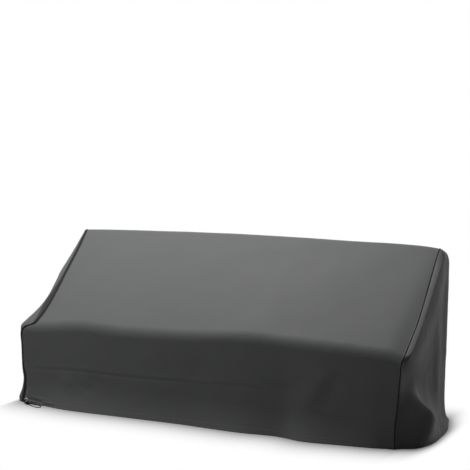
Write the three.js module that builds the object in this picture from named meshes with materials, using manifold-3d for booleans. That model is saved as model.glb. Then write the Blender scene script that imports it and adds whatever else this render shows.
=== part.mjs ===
// Fitted cover for a long outdoor sofa, in the shape it takes over the sofa's frame: a low front,
// a taut slope up to the ridge of the sofa's back, and a short rounded top above a straight back.
// Millimetres. +X runs along the sofa, -Y is the front, +Z is up. Inside the cover's own group,
// y = 0 is the line between the two front corners and x = 0 is midway between the end seams.

import * as THREE from 'three';
import { mergeVertices } from 'three/addons/utils/BufferGeometryUtils.js';
import Module from 'manifold-3d';

const manifold = await Module();
manifold.setup();

// ---- cloth, seams and clearances ----

const CLOTH = 2; // thickness of the coated cloth
const GAP = 0.3; // clearance between neighbouring pieces
const PIPING_RADIUS = 2.4;
const PIPING_SIDES = 8;
const SEAM_HALF_WIDTH = PIPING_RADIUS + GAP; // from the seam line to either cloth edge
const SEAM_LOOK = 20; // the lie of the cloth across a seam is taken over this distance

// ---- cross-section from the front hem over the ridge to the back hem ----

const SHOULDER_Y = 10; // front edge of the seat, where the front drop turns into the slope
const RIDGE_Y = 580;
const BACK_TOP_Y = 710;
const BACK_TOP_DROP = 42; // how far the top falls from the ridge to the back edge
const BACK_HEM_Y = 664;
const BACK_HEM_FLARE = 34;
const SHOULDER_BEND = 38; // from each corner, where the cloth starts to bend round it
const RIDGE_BEND = 15;
const BACK_BEND = 62;
const FLARE_HEIGHT = 130; // the hem swings out below this height
const FLARE_SHARE = 0.45; // of the hem's reach, the part that is flare; the rest is lean

// Stations on the way round the section: 0 front hem, 1 mid shoulder, 2 mid back edge, 3 back hem.
const STATION = {
  shoulderStart: 0.89,
  shoulderEnd: 1.11,
  ridgeStart: 1.72,
  ridgeEnd: 1.8,
  backStart: 1.89,
  backEnd: 2.11,
  backHem: 3,
};

// The section changes along the sofa: how far the hem stands forward of the corners, and the
// heights of the shoulder and the ridge.
const SECTIONS = [
  { x: -1050, hem: 9, shoulder: 394, ridge: 853 },
  { x: -1010, hem: 24, shoulder: 399, ridge: 855 },
  { x: -970, hem: 34, shoulder: 400, ridge: 856 },
  { x: -880, hem: 45, shoulder: 408, ridge: 859 },
  { x: -700, hem: 68, shoulder: 427, ridge: 864 },
  { x: -400, hem: 59, shoulder: 421, ridge: 870 },
  { x: -60, hem: 48, shoulder: 432, ridge: 875 },
  { x: 260, hem: 56, shoulder: 455, ridge: 873 },
  { x: 460, hem: 36, shoulder: 450, ridge: 871 },
  { x: 610, hem: 63, shoulder: 448, ridge: 869 },
  { x: 780, hem: 40, shoulder: 442, ridge: 868 },
  { x: 930, hem: 18, shoulder: 437, ridge: 864 },
  { x: 1000, hem: -2, shoulder: 431, ridge: 859 },
  { x: 1060, hem: -12, shoulder: 413, ridge: 850 },
];

// The end seams by station, as distances from mid length, how far the end panel bulges past its
// seam, and over what bend it turns into its flat. The left seam is pulled inboard on the slope
// and swings out again at the shoulder.
const SEAMS = [
  { at: 0, left: 1019, leftBulge: 30, leftBend: 28, right: 1032, rightBulge: 8, rightBend: 80 },
  { at: 0.07, left: 1016, leftBulge: 44, leftBend: 28, right: 1031, rightBulge: 8, rightBend: 80 },
  { at: 0.14, left: 1014, leftBulge: 35, leftBend: 28, right: 1031, rightBulge: 8, rightBend: 80 },
  { at: 0.28, left: 1012, leftBulge: 23, leftBend: 28, right: 1034, rightBulge: 8, rightBend: 80 },
  { at: 0.36, left: 1015, leftBulge: 26, leftBend: 28, right: 1038, rightBulge: 8, rightBend: 80 },
  { at: 0.45, left: 1031, leftBulge: 14, leftBend: 28, right: 1042, rightBulge: 8, rightBend: 80 },
  { at: 0.75, left: 1042, leftBulge: 9, leftBend: 28, right: 1051, rightBulge: 8, rightBend: 80 },
  { at: 0.92, left: 1046, leftBulge: 13, leftBend: 28, right: 1056, rightBulge: 8, rightBend: 70 },
  { at: 1, left: 1018, leftBulge: 56, leftBend: 28, right: 1060, rightBulge: 12, rightBend: 30 },
  { at: 1.05, left: 978, leftBulge: 98, leftBend: 28, right: 1063, rightBulge: 22, rightBend: 12 },
  { at: 1.12, left: 963, leftBulge: 99, leftBend: 28, right: 1065, rightBulge: 28, rightBend: 6 },
  { at: 1.19, left: 956, leftBulge: 75, leftBend: 28, right: 1065, rightBulge: 30, rightBend: 6 },
  { at: 1.28, left: 961, leftBulge: 55, leftBend: 28, right: 1065, rightBulge: 28, rightBend: 6 },
  { at: 1.45, left: 980, leftBulge: 54, leftBend: 28, right: 1053, rightBulge: 30, rightBend: 6 },
  { at: 1.62, left: 999, leftBulge: 37, leftBend: 28, right: 1038, rightBulge: 34, rightBend: 10 },
  { at: 1.76, left: 1022, leftBulge: 18, leftBend: 28, right: 1029, rightBulge: 26, rightBend: 40 },
  { at: 2, left: 1025, leftBulge: 14, leftBend: 28, right: 1030, rightBulge: 20, rightBend: 80 },
  { at: 2.4, left: 1032, leftBulge: 14, leftBend: 28, right: 1030, rightBulge: 20, rightBend: 80 },
  { at: 3, left: 1036, leftBulge: 14, leftBend: 28, right: 1030, rightBulge: 18, rightBend: 80 },
];

// ---- end panels ----

// The flat of each end panel stands at face from mid length, and from faceReach in it draws the
// cloth more than the seam does. Low down it stands out by reach as
// far up as crest, and slopes back in to the flat at height. Its hem turns out further by lip,
// below lipHeight, or tucks in where lip is negative. A fold is a soft swell or dip, which fades
// out within fade of the seam.
const ENDS = {
  left: {
    side: -1,
    face: 1050,
    faceReach: 120,
    fade: 28,
    hemFlare: [
      { y: -20, reach: 0, height: 70, crest: 24, lip: 0, lipHeight: 40 },
      { y: 60, reach: 16, height: 70, crest: 24, lip: 0, lipHeight: 40 },
      { y: 250, reach: 24, height: 116, crest: 44, lip: 10, lipHeight: 40 },
      { y: 500, reach: 22, height: 96, crest: 36, lip: 6, lipHeight: 40 },
      { y: 700, reach: 8, height: 56, crest: 20, lip: 0, lipHeight: 40 },
    ],
    folds: [
      { y: 330, z: 330, widthY: 190, widthZ: 170, rise: -16 },
    ],
  },
  right: {
    side: 1,
    face: 1054,
    faceReach: 200,
    fade: 80,
    hemFlare: [
      { y: -20, reach: 0, height: 300, crest: 160, lip: 0, lipHeight: 150 },
      { y: 10, reach: 5, height: 300, crest: 140, lip: -4, lipHeight: 150 },
      { y: 30, reach: 36, height: 290, crest: 130, lip: -20, lipHeight: 150 },
      { y: 60, reach: 88, height: 298, crest: 150, lip: -24, lipHeight: 150 },
      { y: 85, reach: 112, height: 306, crest: 174, lip: -33, lipHeight: 145 },
      { y: 110, reach: 126, height: 318, crest: 172, lip: -38, lipHeight: 140 },
      { y: 150, reach: 124, height: 334, crest: 138, lip: -30, lipHeight: 130 },
      { y: 190, reach: 108, height: 320, crest: 94, lip: -10, lipHeight: 100 },
      { y: 240, reach: 94, height: 290, crest: 70, lip: 2, lipHeight: 60 },
      { y: 320, reach: 76, height: 250, crest: 64, lip: 12, lipHeight: 60 },
      { y: 400, reach: 36, height: 210, crest: 80, lip: 46, lipHeight: 60 },
      { y: 480, reach: 16, height: 180, crest: 70, lip: 50, lipHeight: 60 },
      { y: 560, reach: 8, height: 120, crest: 46, lip: 36, lipHeight: 44 },
      { y: 640, reach: 3, height: 60, crest: 24, lip: 19, lipHeight: 24 },
      { y: 720, reach: 0, height: 60, crest: 24, lip: 3, lipHeight: 20 },
    ],
    folds: [
      { y: 500, z: 290, widthY: 60, widthZ: 200, rise: 9 },
    ],
  },
};
const FACE_PULL = 1.6;
const END_CENTRE = { y: 370, z: 350 }; // the end panels' mesh rings close in on this point

// ---- meshes ----

// Rings from the middle of an end panel to its edge; the same steps set the stations.
const RINGS = [0, 0.3, 0.44, 0.6, 0.78, 0.9, 0.96, 1];
// Distances of the main panel's columns from its seam, as shares of half its length.
const COLUMNS = [0, 0.012, 0.03, 0.058, 0.11, 0.19, 0.3, 0.42, 0.54, 0.66, 0.78, 0.89, 1];

// ---- eyelet, cord and cord lock ----

// The eyelet sits in the front hem near its left end, with the cloth between its two flanges.
const EYELET = { x: -995, station: 0.037, stationReach: 0.026, sides: 20 };
const EYELET_RING = { inner: 5.5, barrel: 6.2, flange: 11, groove: 3.6, rim: 0.9 };

const CORD_RADIUS = 2;
const CORD_SIDES = 8;
const CORD_STEPS = 46;
const CORD_SPACING = 2.3; // half the distance between its two strands, side by side
// The cord's centre line: out of the eyelet, through the lock, round its loop on the floor,
// and back the same way.
const CORD_ROUTE = [
  { x: -997.3, y: -16, z: 14.5 },
  { x: -997.3, y: -26, z: 14.5 },
  { x: -997.3, y: -36, z: 14 },
  { x: -995.5, y: -43.5, z: 12 },
  { x: -989, y: -51, z: 9 },
  { x: -978.3, y: -54.7, z: 7.4 },
  { x: -963, y: -62.1, z: 7.4 },
  { x: -947.7, y: -69.5, z: 7.2 },
  { x: -930, y: -77, z: 3.4 },
  { x: -912, y: -83, z: 2.3 },
  { x: -892, y: -90, z: 2.3 },
  { x: -878, y: -94.5, z: 2.3 },
  { x: -868, y: -95, z: 2.3 },
  { x: -861, y: -88, z: 2.3 },
  { x: -863, y: -78, z: 2.3 },
  { x: -871, y: -66, z: 2.3 },
  { x: -882, y: -57, z: 2.3 },
  { x: -897, y: -52, z: 2.3 },
  { x: -915, y: -51.5, z: 2.5 },
  { x: -932, y: -56.5, z: 4.5 },
  { x: -945.7, y: -65.3, z: 7.2 },
  { x: -961, y: -57.9, z: 7.4 },
  { x: -976.3, y: -50.5, z: 7.4 },
  { x: -985.5, y: -47, z: 9.5 },
  { x: -991, y: -41, z: 12 },
  { x: -992.6, y: -35, z: 14 },
  { x: -992.7, y: -26, z: 14.5 },
  { x: -992.7, y: -16, z: 14.5 },
];

const LOCK_SEAT = { x: -962, y: -60, z: 7.4, heading: -25.8 };
const LOCK = { length: 30, endRadius: 5.8, radius: 7.3, chamfer: 1, sides: 16 };
const BUTTON = { radius: 3.4, seat: 4.6, top: 9.4, chamfer: 1, sides: 16 };

const cloth = new THREE.MeshStandardMaterial({ color: 0x4a4c4b, roughness: 0.62, metalness: 0 });
const pipingCloth = new THREE.MeshStandardMaterial({ color: 0x0b0b0b, roughness: 0.7, metalness: 0 });
const metal = new THREE.MeshStandardMaterial({ color: 0x9a9b9c, roughness: 0.32, metalness: 1 });
const cordWeave = new THREE.MeshStandardMaterial({ color: 0x0c0c0d, roughness: 0.85, metalness: 0 });
const plastic = new THREE.MeshStandardMaterial({ color: 0x0a0a0a, roughness: 0.45, metalness: 0 });

// ---- small helpers ----

const clamp01 = (v) => Math.min(1, Math.max(0, v));
const smoothStep = (v) => clamp01(v) ** 2 * (3 - 2 * clamp01(v));
const lerp = THREE.MathUtils.lerp;

// A smooth curve through one column of a table, with the row's place in its first column.
function tableCurve(table, placeKey, key, place) {
  const last = table.length - 1;
  if (place <= table[0][placeKey]) return table[0][key];
  if (place >= table[last][placeKey]) return table[last][key];
  const i = table.findIndex((row) => row[placeKey] > place) - 1;
  const slopeAt = (k) => {
    const before = table[Math.max(0, k - 1)];
    const after = table[Math.min(last, k + 1)];
    return (after[key] - before[key]) / (after[placeKey] - before[placeKey]);
  };
  const span = table[i + 1][placeKey] - table[i][placeKey];
  const t = (place - table[i][placeKey]) / span;
  const start = table[i][key];
  const end = table[i + 1][key];
  const cubic = 2 * t ** 3 - 3 * t ** 2;
  return start * (cubic + 1) - end * cubic
    + span * (slopeAt(i) * (t ** 3 - 2 * t ** 2 + t) + slopeAt(i + 1) * (t ** 3 - t ** 2));
}

// The same steps on both sides of a middle.
function mirrored(steps) {
  return [...steps.slice(1).reverse().map((v) => -v), ...steps];
}

// ---- the form the cloth follows ----

// A point of the cover's outer face, by its place along the sofa and its station on the section.
function formPoint(x, station) {
  const hem = tableCurve(SECTIONS, 'x', 'hem', x);
  const ridge = tableCurve(SECTIONS, 'x', 'ridge', x);
  const frontHem = new THREE.Vector2(-hem * (1 - FLARE_SHARE), 0);
  const shoulder = new THREE.Vector2(SHOULDER_Y, tableCurve(SECTIONS, 'x', 'shoulder', x));
  const top = new THREE.Vector2(RIDGE_Y, ridge);
  const backTop = new THREE.Vector2(BACK_TOP_Y, ridge - BACK_TOP_DROP);
  const backHem = new THREE.Vector2(BACK_HEM_Y, 0);

  const along = (from, to, distance) => from.clone().lerp(to, distance / from.distanceTo(to));
  const bend = (before, corner, after, reach, from, to) => {
    const start = along(corner, before, reach);
    const end = along(corner, after, reach);
    return { from, to, curve: new THREE.QuadraticBezierCurve(start, corner, end) };
  };
  const bends = [
    bend(frontHem, shoulder, top, SHOULDER_BEND, STATION.shoulderStart, STATION.shoulderEnd),
    bend(shoulder, top, backTop, RIDGE_BEND, STATION.ridgeStart, STATION.ridgeEnd),
    bend(top, backTop, backHem, BACK_BEND, STATION.backStart, STATION.backEnd),
  ];

  let lineStart = frontHem;
  let lineFrom = 0;
  let spot = null;
  for (const { from, to, curve } of bends) {
    if (station <= to) {
      spot = station < from
        ? lineStart.clone().lerp(curve.v0, (station - lineFrom) / (from - lineFrom))
        : curve.getPoint((station - from) / (to - from));
      break;
    }
    lineStart = curve.v2;
    lineFrom = to;
  }
  if (!spot) {
    spot = lineStart.clone().lerp(backHem, (station - lineFrom) / (STATION.backHem - lineFrom));
  }

  const low = (1 - Math.min(spot.y, FLARE_HEIGHT) / FLARE_HEIGHT) ** 2;
  const flare = station < 1 ? -hem * FLARE_SHARE : BACK_HEM_FLARE;
  return new THREE.Vector3(x, spot.x + flare * low, spot.y);
}

function seamX(end, station) {
  return end.side * tableCurve(SEAMS, 'at', end.side < 0 ? 'left' : 'right', station);
}

function seamPoint(end, station) {
  return formPoint(seamX(end, station), station);
}

// Where the end panel's cloth lies, for a depth y and a height z.
function endPanelX(end, outline, y, z) {
  const spot = new THREE.Vector2(y, z);
  const side = end.side < 0 ? 'left' : 'right';
  // Each length of seam draws the cloth to its own place, and the flat of the end draws it too.
  let distance = Infinity;
  const facePull = FACE_PULL / end.faceReach ** 3;
  let pulls = facePull;
  let edge = pulls * end.face;
  let bulge = 0;
  let bend = 0;
  for (let i = 1; i < outline.length; i += 1) {
    const from = outline[i - 1];
    const to = outline[i];
    const run = to.flat.clone().sub(from.flat);
    const share = clamp01(spot.clone().sub(from.flat).dot(run) / run.lengthSq());
    const gap = from.flat.clone().lerp(to.flat, share).distanceTo(spot);
    const station = lerp(from.station, to.station, share);
    const pull = run.length() / Math.max(gap, 1) ** 4;
    distance = Math.min(distance, gap);
    pulls += pull;
    edge += pull * tableCurve(SEAMS, 'at', side, station);
    bulge += pull * tableCurve(SEAMS, 'at', `${side}Bulge`, station);
    bend += pull * tableCurve(SEAMS, 'at', `${side}Bend`, station);
  }
  bend /= pulls - facePull;
  const turned = Math.sqrt(1 - (1 - clamp01(distance / bend)) ** 2);
  const flareAt = (key) => tableCurve(end.hemFlare, 'y', key, y);
  const crest = flareAt('crest');
  const swell = (1 - clamp01((z - crest) / (flareAt('height') - crest))) ** 2.2;
  const turnUp = (1 - clamp01(z / flareAt('lipHeight'))) ** 2;
  let x = (edge + bulge * turned) / pulls + flareAt('reach') * swell + flareAt('lip') * turnUp;
  for (const fold of end.folds) {
    const away = ((y - fold.y) / fold.widthY) ** 2 + ((z - fold.z) / fold.widthZ) ** 2;
    x += fold.rise * Math.exp(-away) * smoothStep(distance / end.fade);
  }
  return end.side * x;
}

// ---- sheets ----

// A closed sheet of cloth from a grid of points on its outer face. The inner face lies one
// thickness further in, along a seam's own direction where a point gives one and along the grid's
// normal elsewhere, and never below the floor. turn is -1 where the grid runs the other way round.
// Each cell is split along one diagonal, and along the other one where crossed(i, j) says so.
function sheetGeometry(grid, turn, crossed = () => false) {
  const rows = grid.length;
  const columns = grid[0].length;
  const at = (i, j) => {
    const row = grid[Math.min(rows - 1, Math.max(0, i))];
    return row[Math.min(columns - 1, Math.max(0, j))].point;
  };
  const outer = [];
  const inner = [];
  for (let i = 0; i < rows; i += 1) {
    for (let j = 0; j < columns; j += 1) {
      const across = at(i, j + 1).clone().sub(at(i, j - 1));
      const up = at(i + 1, j).clone().sub(at(i - 1, j));
      const outward = grid[i][j].outward ?? across.cross(up).normalize().multiplyScalar(turn);
      const point = grid[i][j].point.clone().addScaledVector(outward, -CLOTH);
      outer.push(...grid[i][j].point);
      inner.push(point.x, point.y, Math.max(0, point.z));
    }
  }
  const indices = [];
  const offset = rows * columns;
  const triangle = (a, b, c) => {
    if (turn > 0) indices.push(a, b, c);
    else indices.push(a, c, b);
  };
  const quad = (a, b, c, d, isCrossed = false) => {
    triangle(a, b, isCrossed ? d : c);
    triangle(isCrossed ? b : a, c, d);
  };
  for (let i = 0; i < rows - 1; i += 1) {
    for (let j = 0; j < columns - 1; j += 1) {
      const a = i * columns + j;
      quad(a, a + 1, a + columns + 1, a + columns, crossed(i, j));
      quad(
        offset + a, offset + a + columns, offset + a + columns + 1, offset + a + 1, crossed(i, j));
    }
  }
  for (let j = 0; j < columns - 1; j += 1) {
    const top = (rows - 1) * columns + j;
    quad(j + 1, j, offset + j, offset + j + 1);
    quad(top, top + 1, offset + top + 1, offset + top);
  }
  for (let i = 0; i < rows - 1; i += 1) {
    const first = i * columns;
    const last = first + columns - 1;
    quad(first, first + columns, offset + first + columns, offset + first);
    quad(last + columns, last, offset + last, offset + last + columns);
  }
  const geometry = new THREE.BufferGeometry();
  geometry.setAttribute('position', new THREE.Float32BufferAttribute([...outer, ...inner], 3));
  geometry.setIndex(indices);
  return geometry;
}

// ---- booleans ----

function toSolid(geometry) {
  const plain = geometry.clone();
  plain.deleteAttribute('normal');
  plain.deleteAttribute('uv');
  const merged = mergeVertices(plain);
  return new manifold.Manifold(new manifold.Mesh({
    numProp: 3,
    vertProperties: new Float32Array(merged.attributes.position.array),
    triVerts: new Uint32Array(merged.index.array),
  }));
}

function fromSolid(solid) {
  const mesh = solid.getMesh();
  const geometry = new THREE.BufferGeometry();
  geometry.setAttribute('position', new THREE.BufferAttribute(mesh.vertProperties, 3));
  geometry.setIndex(new THREE.BufferAttribute(mesh.triVerts, 1));
  return geometry;
}

// ---- seams ----

// The stations at which every edge along a seam has a vertex.
const STEPS = mirrored(RINGS);
const STATIONS = [0, 1, 2].flatMap(
  (start) => STEPS.slice(start ? 1 : 0).map((step) => start + (step + 1) / 2),
);

// Points on a seam line, each with the directions across it towards mid length, and out.
function seamFrames(end) {
  const points = STATIONS.map((station) => seamPoint(end, station));
  return points.map((point, i) => {
    const before = points[Math.max(0, i - 1)];
    const after = points[Math.min(points.length - 1, i + 1)];
    const along = after.clone().sub(before).normalize();
    const inward = formPoint(point.x - end.side * SEAM_LOOK, STATIONS[i]).sub(point);
    inward.addScaledVector(along, -inward.dot(along)).normalize();
    const outward = along.clone().cross(inward).multiplyScalar(end.side).normalize();
    const flat = new THREE.Vector2(point.y, point.z);
    return { point, inward, outward, flat, station: STATIONS[i] };
  });
}

// A point on a cloth edge beside a seam line, with the way out there.
function edgePoint({ point, inward, outward }, distance) {
  const edge = point.clone().addScaledVector(inward, distance);
  edge.z = Math.max(0, edge.z);
  return { point: edge, outward };
}

const seams = { left: seamFrames(ENDS.left), right: seamFrames(ENDS.right) };

// ---- main panel ----

function mainPanelGrid() {
  const shares = mirrored(COLUMNS.map((share) => 1 - share).reverse());
  return STATIONS.map((station, i) => {
    const left = seams.left[i];
    const right = seams.right[i];
    return shares.map((share, j) => {
      if (j === 0) return edgePoint(left, SEAM_HALF_WIDTH);
      if (j === shares.length - 1) return edgePoint(right, SEAM_HALF_WIDTH);
      return { point: formPoint(lerp(left.point.x, right.point.x, (share + 1) / 2), station) };
    });
  });
}

// ---- end panels ----

function endPanelGrid(end, seam) {
  const outlineAt = (station) => {
    const point = seamPoint(end, station);
    return new THREE.Vector2(point.y, point.z);
  };
  const panelPoint = (spot) => new THREE.Vector3(endPanelX(end, seam, spot.x, spot.y), spot.x, spot.y);
  const centre = new THREE.Vector2(END_CENTRE.y, END_CENTRE.z);
  const frontFoot = seam[0].flat;
  const backFoot = seam[seam.length - 1].flat;
  return STEPS.map((up, i) => STEPS.map((across, j) => {
    const ring = Math.max(Math.abs(up), Math.abs(across));
    if (ring === 0) return { point: panelPoint(centre) };
    const a = across / ring;
    const b = up / ring;
    const onFront = a === -1;
    const onBack = a === 1;
    const onHem = b === -1 && !onFront && !onBack;
    if (ring === 1 && !onHem) {
      const index = onFront ? i : onBack ? 3 * (STEPS.length - 1) - i : STEPS.length - 1 + j;
      return edgePoint(seam[index], -SEAM_HALF_WIDTH);
    }
    let edge = null;
    if (onHem) edge = frontFoot.clone().lerp(backFoot, (a + 1) / 2);
    else if (onFront) edge = outlineAt((b + 1) / 2);
    else if (onBack) edge = outlineAt(3 - (b + 1) / 2);
    else edge = outlineAt(1 + (a + 1) / 2);
    return { point: panelPoint(centre.clone().lerp(edge, ring)) };
  }));
}

// Cells whose other diagonal runs from the panel's middle towards its corner.
function towardsCorner(i, j) {
  const middle = (STEPS.length - 1) / 2;
  return i < middle !== j < middle;
}

// ---- piping ----

// A path whose steps are exactly the points it is given.
class StepPath extends THREE.Curve {
  constructor(points) {
    super();
    this.points = points;
  }

  getPoint(t) {
    const place = t * (this.points.length - 1);
    const i = Math.min(this.points.length - 2, Math.floor(place));
    return this.points[i].clone().lerp(this.points[i + 1], place - i);
  }

  getPointAt(t) {
    return this.getPoint(t);
  }

  getTangentAt(t) {
    const i = Math.round(t * (this.points.length - 1));
    const before = this.points[Math.max(0, i - 1)];
    const after = this.points[Math.min(this.points.length - 1, i + 1)];
    return after.clone().sub(before).normalize();
  }
}

function tubeGeometry(path, steps, radius, sides) {
  const section = new THREE.Shape(Array.from({ length: sides }, (_, k) => new THREE.Vector2(
    radius * Math.cos((2 * Math.PI * k) / sides),
    radius * Math.sin((2 * Math.PI * k) / sides),
  )));
  return new THREE.ExtrudeGeometry(section, { steps, extrudePath: path });
}

function pipingGeometry(seam) {
  const points = seam.map(({ point, outward }) => point.clone().addScaledVector(outward, -CLOTH / 2));
  for (const [foot, next] of [[points[0], points[1]], [points.at(-1), points.at(-2)]]) {
    foot.lerp(next, (PIPING_RADIUS - foot.z) / (next.z - foot.z));
  }
  return tubeGeometry(new StepPath(points), points.length - 1, PIPING_RADIUS, PIPING_SIDES);
}

// ---- eyelet ----

// A solid turned about the Y axis, from rows of [radius, height].
function turnedGeometry(profile, sides) {
  return new THREE.LatheGeometry(profile.map(([r, h]) => new THREE.Vector2(r, h)), sides);
}

// The eyelet's middle and the way it faces, from the cloth it sits in.
function eyeletSeat() {
  const { x, station, stationReach } = EYELET;
  const reach = EYELET_RING.flange;
  const across = formPoint(x + reach, station).sub(formPoint(x - reach, station));
  const up = formPoint(x, station + stationReach).sub(formPoint(x, station - stationReach));
  const outward = across.cross(up).normalize();
  const middle = formPoint(x, station).addScaledVector(outward, -CLOTH / 2);
  return { middle, outward };
}

// Turns a shape made about the Y axis so that it faces along a direction at a place.
function seated(geometry, { middle, outward }) {
  const turn = new THREE.Quaternion().setFromUnitVectors(new THREE.Vector3(0, 1, 0), outward);
  return geometry.applyQuaternion(turn).translate(middle.x, middle.y, middle.z);
}

function eyeletGeometry() {
  const { inner, barrel, flange, groove, rim } = EYELET_RING;
  const half = groove / 2;
  const profile = [
    [inner, -half - rim], [flange - rim, -half - rim], [flange, -half], [barrel, -half],
    [barrel, half], [flange, half], [flange - rim, half + rim], [inner + rim, half + rim],
    [inner, half], [inner, -half - rim],
  ];
  return turnedGeometry(profile, EYELET.sides);
}

function withEyeletHole(panel) {
  const radius = EYELET_RING.barrel + GAP;
  const punch = new THREE.CylinderGeometry(radius, radius, EYELET_RING.flange, EYELET.sides);
  return fromSolid(toSolid(panel).subtract(toSolid(seated(punch, eyeletSeat()))));
}

// ---- drawcord and its lock ----

function drawcordGeometry() {
  const points = CORD_ROUTE.map(({ x, y, z }) => new THREE.Vector3(x, y, z));
  const route = new THREE.CatmullRomCurve3(points);
  return tubeGeometry(route, CORD_STEPS, CORD_RADIUS, CORD_SIDES);
}

// A barrel lying along the cord, with one flat channel for both strands and a pocket for the button.
function lockSolid() {
  const { length, endRadius, radius, chamfer, sides } = LOCK;
  const half = length / 2;
  const profile = [
    [0, -half], [endRadius - chamfer, -half], [endRadius, -half + chamfer], [radius, -half / 2],
    [radius, half / 2], [endRadius, half - chamfer], [endRadius - chamfer, half], [0, half],
  ];
  const barrel = turnedGeometry(profile, sides);
  const slot = new THREE.Shape();
  slot.absarc(CORD_SPACING, 0, CORD_RADIUS + GAP, -Math.PI / 2, Math.PI / 2);
  slot.absarc(-CORD_SPACING, 0, CORD_RADIUS + GAP, Math.PI / 2, (3 * Math.PI) / 2);
  const cut = { depth: 2 * length, bevelEnabled: false, curveSegments: 6 };
  const channel = new THREE.ExtrudeGeometry(slot, cut);
  channel.translate(0, 0, -length).rotateX(Math.PI / 2);
  const bore = BUTTON.radius + GAP;
  const pocket = new THREE.CylinderGeometry(bore, bore, radius, BUTTON.sides);
  pocket.rotateX(Math.PI / 2).translate(0, 0, BUTTON.seat + radius / 2);
  return fromSolid(toSolid(barrel).subtract(toSolid(channel)).subtract(toSolid(pocket)));
}

function buttonGeometry() {
  const { radius, top, chamfer, sides } = BUTTON;
  const bottom = BUTTON.seat + GAP;
  const profile = [
    [0, bottom], [radius, bottom], [radius, top - chamfer], [radius - chamfer, top], [0, top],
  ];
  return turnedGeometry(profile, sides).rotateX(Math.PI / 2);
}

// Lays a piece made along the Y axis onto the cord's heading, at the lock's place.
function onLock(mesh) {
  mesh.position.set(LOCK_SEAT.x, LOCK_SEAT.y, LOCK_SEAT.z);
  mesh.rotation.z = THREE.MathUtils.degToRad(LOCK_SEAT.heading - 90);
  return mesh;
}

// ---- the group ----

function named(name, geometry, material) {
  const mesh = new THREE.Mesh(geometry, material);
  mesh.name = name;
  return mesh;
}

const cover = new THREE.Group();
cover.add(named('main_panel', withEyeletHole(sheetGeometry(mainPanelGrid(), 1)), cloth));
for (const [name, end] of Object.entries(ENDS)) {
  const panel = sheetGeometry(endPanelGrid(end, seams[name]), end.side, towardsCorner);
  cover.add(named(`side_panel_${name}`, panel, cloth));
  cover.add(named(`seam_piping_${name}`, pipingGeometry(seams[name]), pipingCloth));
}
cover.add(named('corner_eyelet', seated(eyeletGeometry(), eyeletSeat()), metal));

// The origin is on the floor at the middle of the cloth's footprint.
const middle = new THREE.Box3().setFromObject(cover).getCenter(new THREE.Vector3());
cover.position.set(-middle.x, -middle.y, 0);

cover.add(named('drawcord', drawcordGeometry(), cordWeave));
cover.add(onLock(named('cord_lock', lockSolid(), plastic)));
cover.add(onLock(named('cord_lock_button', buttonGeometry(), plastic)));

const part = new THREE.Group();
part.add(cover);

export default part;
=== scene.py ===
"""Fitted cover for a long outdoor sofa: coated cloth, black piping, eyelet, drawcord and cord lock."""

from collections import namedtuple

import bmesh
import bpy
import numpy as np
from mathutils import Matrix, Vector, noise


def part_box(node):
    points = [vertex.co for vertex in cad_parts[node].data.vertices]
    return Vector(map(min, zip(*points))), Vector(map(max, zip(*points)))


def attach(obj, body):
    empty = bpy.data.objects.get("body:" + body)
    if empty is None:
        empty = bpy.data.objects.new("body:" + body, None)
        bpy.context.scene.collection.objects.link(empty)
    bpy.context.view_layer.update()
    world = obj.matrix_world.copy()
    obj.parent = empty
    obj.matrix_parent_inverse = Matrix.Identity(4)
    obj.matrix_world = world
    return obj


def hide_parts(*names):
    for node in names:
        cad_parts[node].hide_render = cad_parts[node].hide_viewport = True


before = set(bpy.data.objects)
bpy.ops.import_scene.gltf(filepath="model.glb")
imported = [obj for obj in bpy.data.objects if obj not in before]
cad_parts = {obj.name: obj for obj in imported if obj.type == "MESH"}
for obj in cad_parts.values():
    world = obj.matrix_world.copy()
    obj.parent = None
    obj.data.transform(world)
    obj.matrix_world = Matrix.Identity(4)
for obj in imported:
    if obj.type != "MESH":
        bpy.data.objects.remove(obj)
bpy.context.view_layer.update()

MM = 0.001
FULL_TURN = 2 * np.pi

# ---------------------------------------------------------------------------
# The cover's form, in millimetres in its own group: y = 0 is the line between
# the two front corners and x = 0 is midway between the end seams. A station
# says how far round the section a place is: 0 is the front hem, 1 the middle of
# the shoulder, 2 the middle of the back edge and 3 the back hem.
# ---------------------------------------------------------------------------

PIPING_RADIUS = 2.4
SOLID_CLOTH = 2  # thickness of the cloth's solids, which the eyelet and the piping are centred in
CLOTH = 1.1  # thickness of the cloth shown here
TUCK = 1.3  # the cloth's edge lies this far from the seam line, inside the piping
SEAM_LOOK = 20  # the cloth's direction beside a seam is read this far in from it

SHOULDER_Y = 10
RIDGE_Y = 580
BACK_TOP_Y = 710
BACK_TOP_DROP = 42  # the back edge lies this far below the ridge
BACK_HEM_Y = 664
BACK_HEM_STATION = 3
BACK_HEM_FLARE = 34
FLARE_HEIGHT = 130  # the front and back drops flare out below this height
FLARE_SHARE = 0.45  # of the front hem's reach, the part that comes from its flare

# Each bend starts and ends this far from its corner, and takes up these stations.
SHOULDER_BEND, SHOULDER_STATIONS = 38, (0.89, 1.11)
RIDGE_BEND, RIDGE_STATIONS = 15, (1.72, 1.8)
BACK_BEND, BACK_STATIONS = 62, (1.89, 2.11)

# By place along the sofa: how far the front hem reaches forward, and the heights of two corners.
Section = namedtuple("Section", "x hem shoulder ridge")
SECTIONS = [
    Section(-1050, 9, 394, 853),
    Section(-1010, 24, 399, 855),
    Section(-970, 34, 400, 856),
    Section(-880, 45, 408, 859),
    Section(-700, 68, 427, 864),
    Section(-400, 59, 421, 870),
    Section(-60, 48, 432, 875),
    Section(260, 56, 455, 873),
    Section(460, 36, 450, 871),
    Section(610, 63, 448, 869),
    Section(780, 40, 442, 868),
    Section(930, 18, 437, 864),
    Section(1000, -2, 431, 859),
    Section(1060, -12, 413, 850),
]

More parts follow.
